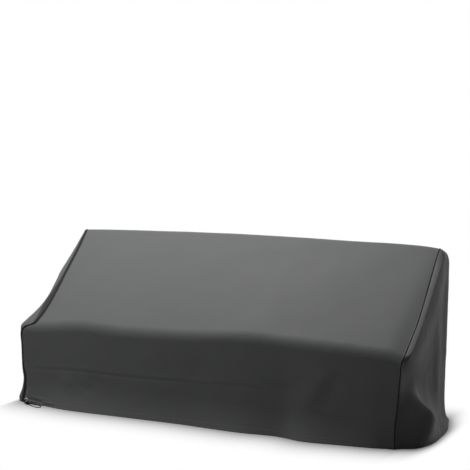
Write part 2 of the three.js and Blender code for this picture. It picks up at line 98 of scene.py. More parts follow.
# By station: how far each end seam is from the sofa's middle, how far the end panel stands out
# beyond the seam, and over what distance from the seam it turns that far out.
Seam = namedtuple("Seam", "at left left_bulge left_bend right right_bulge right_bend")
SEAMS = [
    Seam(0, 1019, 30, 28, 1032, 8, 80),
    Seam(0.07, 1016, 44, 28, 1031, 8, 80),
    Seam(0.14, 1014, 35, 28, 1031, 8, 80),
    Seam(0.28, 1012, 23, 28, 1034, 8, 80),
    Seam(0.36, 1015, 26, 28, 1038, 8, 80),
    Seam(0.45, 1031, 14, 28, 1042, 8, 80),
    Seam(0.75, 1042, 9, 28, 1051, 8, 80),
    Seam(0.92, 1046, 13, 28, 1056, 8, 70),
    Seam(1, 1018, 56, 28, 1060, 12, 30),
    Seam(1.05, 978, 98, 28, 1063, 22, 12),
    Seam(1.12, 963, 99, 28, 1065, 28, 6),
    Seam(1.19, 956, 75, 28, 1065, 30, 6),
    Seam(1.28, 961, 55, 28, 1065, 28, 6),
    Seam(1.45, 980, 54, 28, 1053, 30, 6),
    Seam(1.62, 999, 37, 28, 1038, 34, 10),
    Seam(1.76, 1022, 18, 28, 1029, 26, 40),
    Seam(2, 1025, 14, 28, 1030, 20, 80),
    Seam(2.4, 1032, 14, 28, 1030, 20, 80),
    Seam(3, 1036, 14, 28, 1030, 18, 80),
]

# An end panel's flare, by depth: its reach at the hem, the heights where it starts and is full,
# and how far the hem's edge turns further out or in, below the lip's height.
Flare = namedtuple("Flare", "y reach height crest lip lip_height")
# A soft fold of an end panel: its middle, its half widths, and its rise, or trough if negative.
Fold = namedtuple("Fold", "y z width_y width_z rise")
# side is the sign of x; face is how far out the flat of the end lies, and face_reach how far from
# the seams the cloth comes to it; folds fade in over fade. The painted shade of the seam groove is
# read at seam_shade times the distance, so under 1 widens it, and the share listed after seam_shade is
# taken off that distance around one station, which widens the painted shade there, for the gathers' shade.
End = namedtuple("End", "name side face face_reach fade seam_shade gathered flares folds")
LEFT_END = End(
    "left", -1, 1050, 120, 28, 0.45, 0.8,
    [
        Flare(-20, 0, 70, 24, 0, 40),
        Flare(60, 16, 70, 24, 0, 40),
        Flare(250, 24, 116, 44, 10, 40),
        Flare(500, 22, 96, 36, 6, 40),
        Flare(700, 8, 56, 20, 0, 40),
    ],
    [Fold(330, 330, 190, 170, -16)],
)
RIGHT_END = End(
    "right", 1, 1054, 200, 80, 1.3, 0,
    [
        Flare(-20, 0, 300, 160, 0, 150),
        Flare(10, 5, 300, 140, -4, 150),
        Flare(30, 36, 290, 130, -20, 150),
        Flare(60, 88, 298, 150, -24, 150),
        Flare(85, 112, 306, 174, -33, 145),
        Flare(110, 126, 318, 172, -38, 140),
        Flare(150, 124, 334, 138, -30, 130),
        Flare(190, 108, 320, 94, -10, 100),
        Flare(240, 94, 290, 70, 2, 60),
        Flare(320, 76, 250, 64, 12, 60),
        Flare(400, 36, 210, 80, 46, 60),
        Flare(480, 16, 180, 70, 50, 60),
        Flare(560, 8, 120, 46, 36, 44),
        Flare(640, 3, 60, 24, 19, 24),
        Flare(720, 0, 60, 24, 3, 20),
    ],
    [Fold(500, 290, 60, 200, 9)],
)
FACE_PULL = 1.6  # how strongly the flat of the end draws the cloth, against the seams
SEAM_PULL_POWER = 4  # a seam's pull falls with this power of the distance
SWELL_POWER = 2.2
END_CENTRE = (370, 350)  # the depth and height that an end panel's rings of points close in on
SEAM_STEPS = 241
# The painted shade of the seam groove widens around this station, over this reach of stations.
WIDE_SHADE_STATION, WIDE_SHADE_REACH = 1.24, 0.15

EYELET_X = -995
EYELET_STATION = 0.037
EYELET_STATION_REACH = 0.026
EYELET_FLANGE = 11


def smooth(value):
    """0 to 1 with a soft start and end."""
    value = np.clip(value, 0, 1)
    return value * value * (3 - 2 * value)


def mix(start, end, share):
    return start + (end - start) * share


def table_curve(table, key, place):
    """A smooth curve through one column of a table, with each row's place in its first column."""
    places = np.array([row[0] for row in table], float)
    values = np.array([getattr(row, key) for row in table], float)
    last = len(table) - 1
    slopes = np.array([
        (values[min(last, k + 1)] - values[max(0, k - 1)])
        / (places[min(last, k + 1)] - places[max(0, k - 1)])
        for k in range(last + 1)
    ])
    place = np.clip(np.asarray(place, float), places[0], places[last])
    i = np.clip(np.searchsorted(places, place, side="right") - 1, 0, last - 1)
    span = places[i + 1] - places[i]
    t = (place - places[i]) / span
    cubic = 2 * t**3 - 3 * t**2
    return (
        values[i] * (cubic + 1) - values[i + 1] * cubic
        + span * (slopes[i] * (t**3 - 2 * t**2 + t) + slopes[i + 1] * (t**3 - t**2))
    )


def form_points(x, station):
    """Points of the cover's outer face, by place along the sofa and station round the section."""
    x, station = np.broadcast_arrays(np.asarray(x, float), np.asarray(station, float))
    hem = table_curve(SECTIONS, "hem", x)
    ridge = table_curve(SECTIONS, "ridge", x)
    level = np.zeros_like(x)
    front_hem = np.stack([-hem * (1 - FLARE_SHARE), level], -1)
    shoulder = np.stack([level + SHOULDER_Y, table_curve(SECTIONS, "shoulder", x)], -1)
    top = np.stack([level + RIDGE_Y, ridge], -1)
    back_top = np.stack([level + BACK_TOP_Y, ridge - BACK_TOP_DROP], -1)
    back_hem = np.stack([level + BACK_HEM_Y, level], -1)

    def along(start, end, distance):
        run = end - start
        return start + run * (distance / np.linalg.norm(run, axis=-1, keepdims=True))

    spot = np.zeros(x.shape + (2,))

    def line(start, end, first, last):
        share = ((station - first) / (last - first))[..., None]
        here = (station >= first) & (station <= last)
        spot[here] = mix(start, end, share)[here]

    def bend(start, corner, end, first, last):
        t = ((station - first) / (last - first))[..., None]
        curve = (1 - t) ** 2 * start + 2 * t * (1 - t) * corner + t**2 * end
        here = (station >= first) & (station <= last)
        spot[here] = curve[here]

    bends = [
        (front_hem, shoulder, top, SHOULDER_BEND, SHOULDER_STATIONS),
        (shoulder, top, back_top, RIDGE_BEND, RIDGE_STATIONS),
        (top, back_top, back_hem, BACK_BEND, BACK_STATIONS),
    ]
    line_start, line_first = front_hem, 0
    for before, corner, after, reach, (first, last) in bends:
        start, end = along(corner, before, reach), along(corner, after, reach)
        line(line_start, start, line_first, first)
        bend(start, corner, end, first, last)
        line_start, line_first = end, last
    line(line_start, back_hem, line_first, BACK_HEM_STATION)

    low = (1 - np.minimum(spot[..., 1], FLARE_HEIGHT) / FLARE_HEIGHT) ** 2
    flare = np.where(station < 1, -hem * FLARE_SHARE, BACK_HEM_FLARE)
    return np.stack([x, spot[..., 0] + flare * low, spot[..., 1]], -1)


def seam_x(end, station):
    return end.side * table_curve(SEAMS, end.name, station)


def seam_frames(end, stations):
    """Points on a seam line, with the directions inward across the cloth and out from it."""
    points = form_points(seam_x(end, stations), stations)
    tangent = np.gradient(points, axis=0)
    tangent /= np.linalg.norm(tangent, axis=1, keepdims=True)
    inward = form_points(points[:, 0] - end.side * SEAM_LOOK, stations) - points
    inward -= tangent * np.sum(inward * tangent, axis=1, keepdims=True)
    inward /= np.linalg.norm(inward, axis=1, keepdims=True)
    return points, inward, np.cross(tangent, inward) * end.side


def nearest(spots, start, run):
    """For each spot, the share along each run that lies nearest to it, and how far off that is."""
    length = np.maximum(np.sum(run * run, -1), 1e-12)
    share = np.clip(np.sum((spots - start) * run, -1) / length, 0, 1)
    return share, np.linalg.norm(start + run * share[..., None] - spots, axis=-1)


def end_panel_x(end, outline, stations, y, z):
    """Where an end panel's cloth lies, for depths y and heights z, and how far from its seam."""
    run = np.diff(outline, axis=0)[None]
    share, gaps = nearest(np.stack([y, z], -1)[:, None, :], outline[None, :-1], run)
    distance = np.min(gaps, axis=1)

    # Each length of seam draws the cloth to its own place, and the flat of the end draws it too.
    pull = np.linalg.norm(run, axis=-1) / np.maximum(gaps, 1) ** SEAM_PULL_POWER
    face_pull = FACE_PULL / end.face_reach ** 3

    def drawn(key):
        values = table_curve(SEAMS, key, stations)
        return np.sum(pull * mix(values[:-1], values[1:], share), axis=1)

    bend = drawn(end.name + "_bend") / pull.sum(axis=1)
    rounding = np.sqrt(1 - (1 - np.clip(distance / bend, 0, 1)) ** 2)
    edge = drawn(end.name) + drawn(end.name + "_bulge") * rounding
    x = (edge + face_pull * end.face) / (pull.sum(axis=1) + face_pull)

    crest = table_curve(end.flares, "crest", y)
    above = np.clip((z - crest) / (table_curve(end.flares, "height", y) - crest), 0, 1)
    swell = (1 - above) ** SWELL_POWER
    turn_up = (1 - np.clip(z / table_curve(end.flares, "lip_height", y), 0, 1)) ** 2
    x += table_curve(end.flares, "reach", y) * swell + table_curve(end.flares, "lip", y) * turn_up
    for fold in end.folds:
        away = ((y - fold.y) / fold.width_y) ** 2 + ((z - fold.z) / fold.width_z) ** 2
        x += fold.rise * np.exp(-away) * smooth(distance / end.fade)
    return end.side * x, distance


# The eyelet's box says where the cover's own group lies in the row.
seat_across = form_points(EYELET_X + EYELET_FLANGE, EYELET_STATION) - form_points(
    EYELET_X - EYELET_FLANGE, EYELET_STATION)
seat_up = form_points(EYELET_X, EYELET_STATION + EYELET_STATION_REACH) - form_points(
    EYELET_X, EYELET_STATION - EYELET_STATION_REACH)
eyelet_out = np.cross(seat_across, seat_up)
eyelet_out /= np.linalg.norm(eyelet_out)
eyelet_middle = form_points(EYELET_X, EYELET_STATION) - eyelet_out * SOLID_CLOTH / 2
eyelet_low, eyelet_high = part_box("corner_eyelet")
SHIFT = (np.array(eyelet_low) + np.array(eyelet_high)) / 2 - eyelet_middle * MM
SHIFT[2] = 0


def placed(points):
    """Points of the cover's group, in millimetres, as points of the row, in metres."""
    return np.asarray(points, float) * MM + SHIFT


# ---------------------------------------------------------------------------
# Camera
# ---------------------------------------------------------------------------

CAMERA_PLACE = (3090, -5370, 1550)
CAMERA_YAW, CAMERA_PITCH = np.radians([28.1, 5.8])
SENSOR_WIDTH = 36
FOCAL_LENGTH = 99.6

camera_data = bpy.data.cameras.new("camera")
camera = bpy.data.objects.new("camera", camera_data)
bpy.context.scene.collection.objects.link(camera)
bpy.context.scene.camera = camera
camera_data.sensor_width = SENSOR_WIDTH
camera_data.lens = FOCAL_LENGTH
camera.location = placed(CAMERA_PLACE)
camera.rotation_euler = Vector((
    np.sin(CAMERA_YAW) * np.cos(CAMERA_PITCH),
    -np.cos(CAMERA_YAW) * np.cos(CAMERA_PITCH),
    np.sin(CAMERA_PITCH),
)).to_track_quat("Z", "Y").to_euler()


# ---------------------------------------------------------------------------
# Shader building
# ---------------------------------------------------------------------------


class Wire:
    """A node's output, on which arithmetic adds Math nodes."""

    def __init__(self, finish, socket):
        self.finish, self.socket = finish, socket

    def math(self, operation, first, second=0.0):
        return self.finish.node("ShaderNodeMath", {"operation": operation}, {0: first, 1: second})

    def __add__(self, other):
        return self.math("ADD", self, other)

    __radd__ = __add__

    def __sub__(self, other):
        return self.math("SUBTRACT", self, other)

    def __rsub__(self, other):
        return self.math("SUBTRACT", other, self)

    def __mul__(self, other):
        return self.math("MULTIPLY", self, other)

    __rmul__ = __mul__

    def __truediv__(self, other):
        return self.math("DIVIDE", self, other)

    def sine(self):
        return self.math("SINE", self)

    def fraction(self):
        return self.math("FRACT", self)

    def below(self, limit):
        return self.math("LESS_THAN", self, limit)

    def distance_to(self, place):
        return self.math("ABSOLUTE", self - place)

    def larger(self, other):
        return self.math("MAXIMUM", self, other)


class Finish:
    """A material on a Principled BSDF, built one node at a time."""

    def __init__(self, name, **constants):
        self.material = bpy.data.materials.new(name)
        self.material.use_nodes = True
        self.tree = self.material.node_tree
        self.surface = self.tree.nodes["Principled BSDF"]
        for socket, value in constants.items():
            self.surface.inputs[socket.replace("_", " ")].default_value = value

    def node(self, kind, settings=None, inputs=None, output=0):
        made = self.tree.nodes.new(kind)
        for name, value in (settings or {}).items():
            if name == "stops":
                ramp = made.color_ramp
                while len(ramp.elements) < len(value):
                    ramp.elements.new(1)
                for element, (place, level) in zip(ramp.elements, value):
                    element.position = place
                    element.color = (level, level, level, 1)
            else:
                setattr(made, name, value)
        for name, value in (inputs or {}).items():
            self.plug(made.inputs[name], value)
        return Wire(self, made.outputs[output])

    def plug(self, socket, value):
        if isinstance(value, Wire):
            self.tree.links.new(value.socket, socket)
        else:
            socket.default_value = value

    def set(self, **links):
        for name, value in links.items():
            self.plug(self.surface.inputs[name.replace("_", " ")], value)

    def uv(self, layer):
        """A UV map, and its two coordinates in metres."""
        vector = self.node("ShaderNodeUVMap", {"uv_map": layer})
        return vector, *(
            self.node("ShaderNodeSeparateXYZ", inputs={0: vector}, output=axis) for axis in (0, 1)
        )

    def place(self):
        """The object's own coordinates, in metres."""
        return self.node("ShaderNodeTexCoord", output=3)

    def noise(self, vector, scale, detail=2.0, roughness=0.5, distortion=0.0):
        return self.node("ShaderNodeTexNoise", inputs={
            "Vector": vector, "Scale": scale, "Detail": detail,
            "Roughness": roughness, "Distortion": distortion,
        })

    def stretched(self, vector, scale):
        return self.node("ShaderNodeVectorMath", {"operation": "MULTIPLY"}, {0: vector, 1: scale})

    def blend(self, share, first, second):
        """Mixes two colours, each a link or three numbers."""
        colours = [c if isinstance(c, Wire) else (*c, 1) for c in (first, second)]
        return self.node(
            "ShaderNodeMix", {"data_type": "RGBA"}, {0: share, 6: colours[0], 7: colours[1]}, output=2)

    def bump(self, height, distance, strength=1.0, normal=None):
        sockets = {"Height": height, "Distance": distance, "Strength": strength}
        if normal:
            sockets["Normal"] = normal
        return self.node("ShaderNodeBump", inputs=sockets)


# ---------------------------------------------------------------------------
# Materials, in metres
# ---------------------------------------------------------------------------

YARN = 0.0011
PIPING_YARN = 0.0008
BRAID_PITCH = 0.0052
BRAID_SLANT = 4  # turns of the pattern for each metre round the cord
HEM_STITCH_HEIGHT = 0.021
STITCH_PITCH = 0.0036
STITCH_SHARE = 0.7  # of the pitch, the part that thread covers
STITCH_HALF_WIDTH = 0.0006
GROOVE_FULL, GROOVE_END = 0.0022, 0.0068  # the painted shade of the seam groove fades between these distances
# Strength and colour of the painted shade of the seam groove.
PAINTED_GROOVE_SHADE_SHARE = 0.97
PAINTED_GROOVE_SHADE_COLOUR = (0.012, 0.012, 0.012)
BLACK_THREAD = (0.02, 0.02, 0.021)


def woven(across, along, yarn):
    """A plain weave's relief, from 0 to 1."""
    return (across * (FULL_TURN / yarn)).sine() * (along * (FULL_TURN / yarn)).sine() * 0.5 + 0.5


def cover_cloth():
    finish = Finish("coated_cover_cloth", Roughness=0.6, Sheen_Weight=0.12, Sheen_Roughness=0.5)
    finish.set(Specular_IOR_Level=0.15)
    grid, across, along = finish.uv("cloth")
    _, hem_run, hem_height = finish.uv("hem")
    _, from_seam, _ = finish.uv("seam")
    place = finish.place()
    weave = woven(across, along, YARN)
    slub = finish.noise(finish.stretched(grid, (180, 2600, 1)), 1.0, detail=1.0)
    mottle = finish.noise(place, 9.0, detail=3.0, roughness=0.55)
    drift = finish.noise(place, 1.7, detail=1.0)
    stitch_line = hem_height.distance_to(HEM_STITCH_HEIGHT).below(STITCH_HALF_WIDTH)
    stitch = stitch_line * (hem_run / STITCH_PITCH).fraction().below(STITCH_SHARE)
    shade = mottle * 0.16 + drift * 0.14 + weave * 0.05 + slub * 0.05
    cloth = finish.blend(shade, (0.094, 0.097, 0.096), (0.172, 0.176, 0.173))
    # Painted shade: the cloth's colour darkens almost to black within a few millimetres of each seam,
    # standing in for the shade in the seam's groove.
    painted_groove_shade = finish.node(
        "ShaderNodeMapRange", {"interpolation_type": "SMOOTHSTEP"},
        {0: from_seam, 1: GROOVE_FULL, 2: GROOVE_END, 3: PAINTED_GROOVE_SHADE_SHARE, 4: 0.0})
    shaded = finish.blend(painted_groove_shade, cloth, PAINTED_GROOVE_SHADE_COLOUR)
    finish.set(
        Base_Color=finish.blend(stitch * 0.7, shaded, BLACK_THREAD),
        Roughness=0.56 + mottle * 0.12 + weave * 0.04,
    )
    crumple = finish.noise(place, 22.0, detail=3.0, roughness=0.45, distortion=0.4)
    soft = finish.bump(crumple, 0.0016, 0.35)
    threads = finish.bump(weave * 0.7 + slub * 0.3, 0.00012, 0.6, soft)
    sewn = finish.bump(stitch * 1.0 - stitch_line * 0.6, 0.0005, 0.8, threads)
    finish.set(Normal=sewn)
    return finish.material


def piping_cloth():
    finish = Finish("black_piping_cloth", Roughness=0.75, Specular_IOR_Level=0.08)
    grid, across, along = finish.uv("cloth")
    weave = woven(across, along, PIPING_YARN)
    wear = finish.noise(grid, 60.0, detail=2.0)
    finish.set(
        Base_Color=finish.blend(wear * 0.6 + weave * 0.2, (0.004, 0.004, 0.004), (0.014, 0.014, 0.014)),
        Roughness=0.66 + weave * 0.14,
        Normal=finish.bump(weave, 0.0001, 0.7),
    )
    return finish.material


def cord_braid():
    finish = Finish("black_cord_braid", Roughness=0.8, Specular_IOR_Level=0.1)
    grid, around, along = finish.uv("cloth")
    turn = along * (FULL_TURN / BRAID_PITCH)
    slant = around * (FULL_TURN * BRAID_SLANT)
    one_way, other_way = (turn + slant).sine(), (turn - slant).sine()
    strands = one_way * other_way * 0.5 + 0.5
    fuzz = finish.noise(grid, 900.0, detail=1.0)
    finish.set(
        Base_Color=finish.blend(strands * 0.7 + fuzz * 0.2, (0.003, 0.003, 0.0035), (0.016, 0.016, 0.017)),
        Roughness=0.7 + strands * 0.15,
        Normal=finish.bump(strands, 0.0004, 0.8),
    )
    return finish.material


def lock_plastic():
    finish = Finish("black_lock_plastic", Roughness=0.6, Specular_IOR_Level=0.05)
    place = finish.place()
    grain = finish.noise(place, 2600.0, detail=2.0)
    scuff = finish.noise(place, 260.0, detail=3.0, roughness=0.7)
    worn = finish.node("ShaderNodeValToRGB", {"stops": [(0.52, 0), (0.74, 1)]}, {0: scuff})
    finish.set(
        Base_Color=finish.blend(worn, (0.003, 0.003, 0.0032), (0.012, 0.012, 0.012)),
        Roughness=0.54 + grain * 0.12 + scuff * 0.1,
        Normal=finish.bump(grain, 0.00005, 0.5),
    )
    return finish.material


def eyelet_metal():
    finish = Finish("nickel_eyelet_metal", Roughness=0.3, Metallic=1.0)
    place = finish.place()
    scratch = finish.noise(finish.stretched(place, (400, 400, 3000)), 1.0, detail=2.0)
    tarnish = finish.noise(place, 180.0, detail=3.0, roughness=0.6)
    finish.set(
        Base_Color=finish.blend(tarnish, (0.16, 0.16, 0.155), (0.32, 0.32, 0.325)),
        Roughness=0.22 + tarnish * 0.2 + scratch * 0.06,
        Normal=finish.bump(scratch, 0.00004, 0.6),
    )
    return finish.material


# ---------------------------------------------------------------------------
# Mesh building
# ---------------------------------------------------------------------------


def grid_surface(bm, points, maps):
    """Lays a bmesh grid over rows and columns of points, in metres, and gives it UV maps."""
    rows, columns = points.shape[:2]
    made = bmesh.ops.create_grid(bm, x_segments=columns - 1, y_segments=rows - 1, size=1)["verts"]
    place = {}
    for vert in made:
        column = round((vert.co.x + 1) / 2 * (columns - 1))
        row = round((vert.co.y + 1) / 2 * (rows - 1))
        place[vert] = (row, column)
    for vert, spot in place.items():
        vert.co = points[spot]
    layers = [(bm.loops.layers.uv.get(name) or bm.loops.layers.uv.new(name), values)
              for name, values in maps.items()]
    for face in {face for vert in made for face in vert.link_faces}:
        face.smooth = True
        for loop in face.loops:
            for layer, values in layers:
                loop[layer].uv = values[place[loop.vert]]
    return made


def finished(name, bm, material):
    """Makes the bmesh an object with its material."""
    mesh = bpy.data.meshes.new(name)
    bm.to_mesh(mesh)
    bm.free()
    mesh.materials.append(material)
    piece = bpy.data.objects.new(name, mesh)
    bpy.context.scene.collection.objects.link(piece)
    return piece


def crowded(count, power):
    """Shares from -1 to 1 that crowd together towards both ends, with count of them to a side."""
    half = 1 - (1 - np.linspace(0, 1, count)) ** power
    return np.concatenate([-half[:0:-1], half])


ANY_SLANT = (0.3, 0.2, 0.93)  # a direction that no tube starts along
MERGE_SHARE = 0.01  # of a tube's radius


def tube(name, points, radius, sides, material):
    """A round tube along a line of points, in metres, closed at both ends."""
    tangent = np.gradient(points, axis=0)
    tangent /= np.linalg.norm(tangent, axis=1, keepdims=True)
    normal = np.zeros_like(points)
    normal[0] = np.cross(tangent[0], ANY_SLANT)
    for i in range(1, len(points)):
        normal[i] = normal[i - 1]
        normal[i] -= tangent[i] * np.dot(normal[i], tangent[i])
        normal[i] /= np.linalg.norm(normal[i])
    normal[0] /= np.linalg.norm(normal[0])
    binormal = np.cross(tangent, normal)
    turn = np.linspace(0, FULL_TURN, sides + 1)
    ring = radius * (np.cos(turn)[None, :, None] * normal[:, None]
                     + np.sin(turn)[None, :, None] * binormal[:, None])
    run = np.concatenate([[0], np.cumsum(np.linalg.norm(np.diff(points, axis=0), axis=1))])
    layout = np.stack(np.broadcast_arrays(turn[None] * radius, run[:, None]), -1)
    bm = bmesh.new()
    made = grid_surface(bm, points[:, None] + ring, {"cloth": layout})
    bmesh.ops.remove_doubles(bm, verts=made, dist=radius * MERGE_SHARE)
    rims = [edge for edge in bm.edges if edge.is_boundary]
    bmesh.ops.holes_fill(bm, edges=rims, sides=sides)
    bmesh.ops.recalc_face_normals(bm, faces=bm.faces)
    return finished(name, bm, material)


# ---------------------------------------------------------------------------
# Drawcord, first of the pieces
# ---------------------------------------------------------------------------

CORD_RADIUS = 2
CORD_SIDES = 14
CORD_STEPS = 5
# From the eyelet through the lock's channel, round the loop and back to the eyelet.
CORD_ROUTE = [
    (-997.3, -16, 14.5), (-997.3, -26, 14.5), (-997.3, -36, 14), (-995.5, -43.5, 12),
    (-989, -51, 9), (-978.3, -54.7, 7.4), (-963, -62.1, 7.4), (-947.7, -69.5, 7.2),
    (-930, -77, 3.4), (-912, -83, 2.3), (-892, -90, 2.3), (-878, -94.5, 2.3),
    (-868, -95, 2.3), (-861, -88, 2.3), (-863, -78, 2.3), (-871, -66, 2.3),
    (-882, -57, 2.3), (-897, -52, 2.3), (-915, -51.5, 2.5), (-932, -56.5, 4.5),
    (-945.7, -65.3, 7.2), (-961, -57.9, 7.4), (-976.3, -50.5, 7.4), (-985.5, -47, 9.5),
    (-991, -41, 12), (-992.6, -35, 14), (-992.7, -26, 14.5), (-992.7, -16, 14.5),
]


def smooth_line(points, steps):
    """A centripetal curve through points, in steps between each pair."""
    points = np.asarray(points, float)
    padded = np.concatenate([[2 * points[0] - points[1]], points, [2 * points[-1] - points[-2]]])
    line = []
    for p0, p1, p2, p3 in zip(padded, padded[1:], padded[2:], padded[3:]):
        d1, d2, d3 = (np.linalg.norm(b - a) ** 0.5 for a, b in ((p0, p1), (p1, p2), (p2, p3)))
        m1 = (p1 - p0) / d1 - (p2 - p0) / (d1 + d2) + (p2 - p1) / d2
        m2 = (p2 - p1) / d2 - (p3 - p1) / (d2 + d3) + (p3 - p2) / d3
        for t in np.arange(steps) / steps:
            line.append(
                (2 * t**3 - 3 * t**2 + 1) * p1 + (t**3 - 2 * t**2 + t) * d2 * m1
                + (3 * t**2 - 2 * t**3) * p2 + (t**3 - t**2) * d2 * m2)
    line.append(points[-1])
    return np.array(line)


cord_line = placed(smooth_line(CORD_ROUTE, CORD_STEPS))
drawcord = tube("drawcord_braid", cord_line, CORD_RADIUS * MM, CORD_SIDES, cord_braid())
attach(drawcord, "root")
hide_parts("drawcord")

# ---------------------------------------------------------------------------
# Main panel, end panels and piping
# ---------------------------------------------------------------------------

# Creases and soft folds of the main panel, as lines from one place to another. Each place is a
# distance along the sofa and a run up the cloth from the front hem. A negative rise is a trough.
Crease = namedtuple("Crease", "x0 v0 x1 v1 width rise")
CREASES = [
    Crease(-1000, 204, 60, 210, 7, -1.6),
    Crease(60, 210, 390, 206, 6, -0.8),
    Crease(-1000, 216, 380, 221, 16, 0.7),
    Crease(-780, 120, -700, 165, 46, 2.4),
    Crease(-600, 90, -560, 190, 40, -1.8),
    Crease(700, 330, 590, 150, 34, 2.6),
    Crease(760, 330, 690, 140, 40, -2.2),
    Crease(470, 260, 520, 40, 45, -2.5),
    Crease(0, 330, 40, 60, 60, -1.6),
    Crease(-300, 350, -250, 60, 80, 1.6),
    Crease(-985, 27, -880, 19, 6, -3.2),
    Crease(-975, 15, -850, 8, 5, 3.2),
    Crease(-960, 6, -870, 13, 4, -3.0),
    Crease(-890, 20, -800, 16, 6, 2.4),
    Crease(-880, 10, -790, 8, 5, -2.2),
    Crease(-950, 38, -840, 31, 8, 1.8),
    Crease(-1005, 40, -1000, 100, 6, -1.8),
    Crease(-990, 34, -975, 90, 7, 1.6),
    Crease(-850, 560, -700, 1050, 90, 2.0),
    Crease(-450, 520, -420, 1080, 110, -2.0),
    Crease(-120, 520, -150, 1080, 100, 1.6),
    Crease(240, 540, 200, 1080, 110, -1.8),
    Crease(560, 540, 520, 1060, 90, 1.8),
    Crease(850, 560, 820, 1040, 80, -1.6),
]
# Low waves that run all over a panel: the rise of each, and its lengths two ways.
Wave = namedtuple("Wave", "rise first second")
MAIN_WAVES = [Wave(1.3, 190, 260), Wave(0.5, 60, 75)]
END_WAVES = [Wave(2.2, 130, 170), Wave(0.9, 46, 60)]
MAIN_WAVES_SEED = 0.4
END_WAVES_SEED = 2.3

# Puckers along a seam, which die out over their reach: a length of seam each in the main panel,
# and so many for each station in the end panels.
MAIN_PUCKER_RISE, MAIN_PUCKER_LENGTH, MAIN_PUCKER_REACH = 1.5, 21, 26
END_PUCKER_RISE, END_PUCKERS, END_PUCKER_REACH = 1.7, 21, 22
MAIN_PUCKER_SEED, END_PUCKER_SEED = 3.7, 3.1
SEAM_DIP, SEAM_DIP_REACH = 1.6, 7

CREASE_FADE = 0.25  # a crease comes up over this share of its length at each end
CREASE_START = 0.15  # and its very end is this far through that

# The cloth's folds come up over these distances from its hem and its seams. The hem's edge is
# HEM_FREEDOM of the way through its own.
HEM_HOLD, HEM_FREEDOM = 30, 0.3
MAIN_SEAM_EDGE, MAIN_SEAM_HOLD = 1, 6
END_SEAM_HOLD = 14

# An end panel is evened out away from its seam and its hem.
EVEN_FROM_SEAM, EVEN_FROM_HEM, EVEN_REACH, EVEN_ROUNDS = 6, 2, 30, 8

HEM_WIDTH = 25
HEM_THICKNESS = 0.8
HEM_STEP = 3  # the hem's upper edge rises over this height
HEM_STITCH_DENT, HEM_STITCH_REACH = 0.5, 1.6
ABOVE_HEM = 400  # any height that is clear of the hem
HEM_END, HEM_END_RISE = 3, 8  # an end panel's hem comes up over these distances from its seam
STATION_LENGTH = 700  # about the cloth's run from one station to the next

# The main panel's rows, as how many lie from one station to the next.
MAIN_ROWS = [
    (0, 0.065, 12), (0.065, 0.86, 52), (0.86, 1.14, 26), (1.14, 1.7, 48),
    (1.7, 1.82, 14), (1.82, 2.14, 22), (2.14, 2.96, 34), (2.96, 3, 9),
]
# Columns to each side of the main panel's middle, and rings round the middle of an end panel.
MAIN_COLUMNS, MAIN_CROWDING = 101, 1.3
END_RINGS, END_CROWDING = 61, 1.6

main_stations = np.unique(np.round(np.concatenate(
    [np.linspace(first, last, count) for first, last, count in MAIN_ROWS]), 5))


def wander(first, second, seed):
    """Smooth noise over two coordinates."""
    return np.vectorize(lambda a, b: noise.noise(Vector((a, b, seed))))(first, second)


def waves(rows, first, second, seed):
    """The height of a table of waves at two distances."""
    return sum(wave.rise * wander(first / wave.first, second / wave.second, seed) for wave in rows)


def kept_by_hem(height):
    """How much of its folds the cloth keeps, by height above the hem's edge."""
    return smooth(height / HEM_HOLD + HEM_FREEDOM)


def hem_band(height):
    """How far the doubled cloth of a hem stands out, by height above its edge."""
    fold = smooth((HEM_WIDTH + HEM_STEP / 2 - height) / HEM_STEP)
    sewn = np.exp(-(((height - HEM_STITCH_HEIGHT / MM) / HEM_STITCH_REACH) ** 2))
    return HEM_THICKNESS * fold - HEM_STITCH_DENT * sewn


def sheet_mesh(points, maps):
    """A sheet of the cover's group over rows and columns of points, with its maps' two values."""
    bm = bmesh.new()
    layouts = {name: np.stack(pair, -1) * MM for name, pair in maps.items()}
    grid_surface(bm, placed(points), layouts)
    bmesh.ops.recalc_face_normals(bm, faces=bm.faces)
    return bm


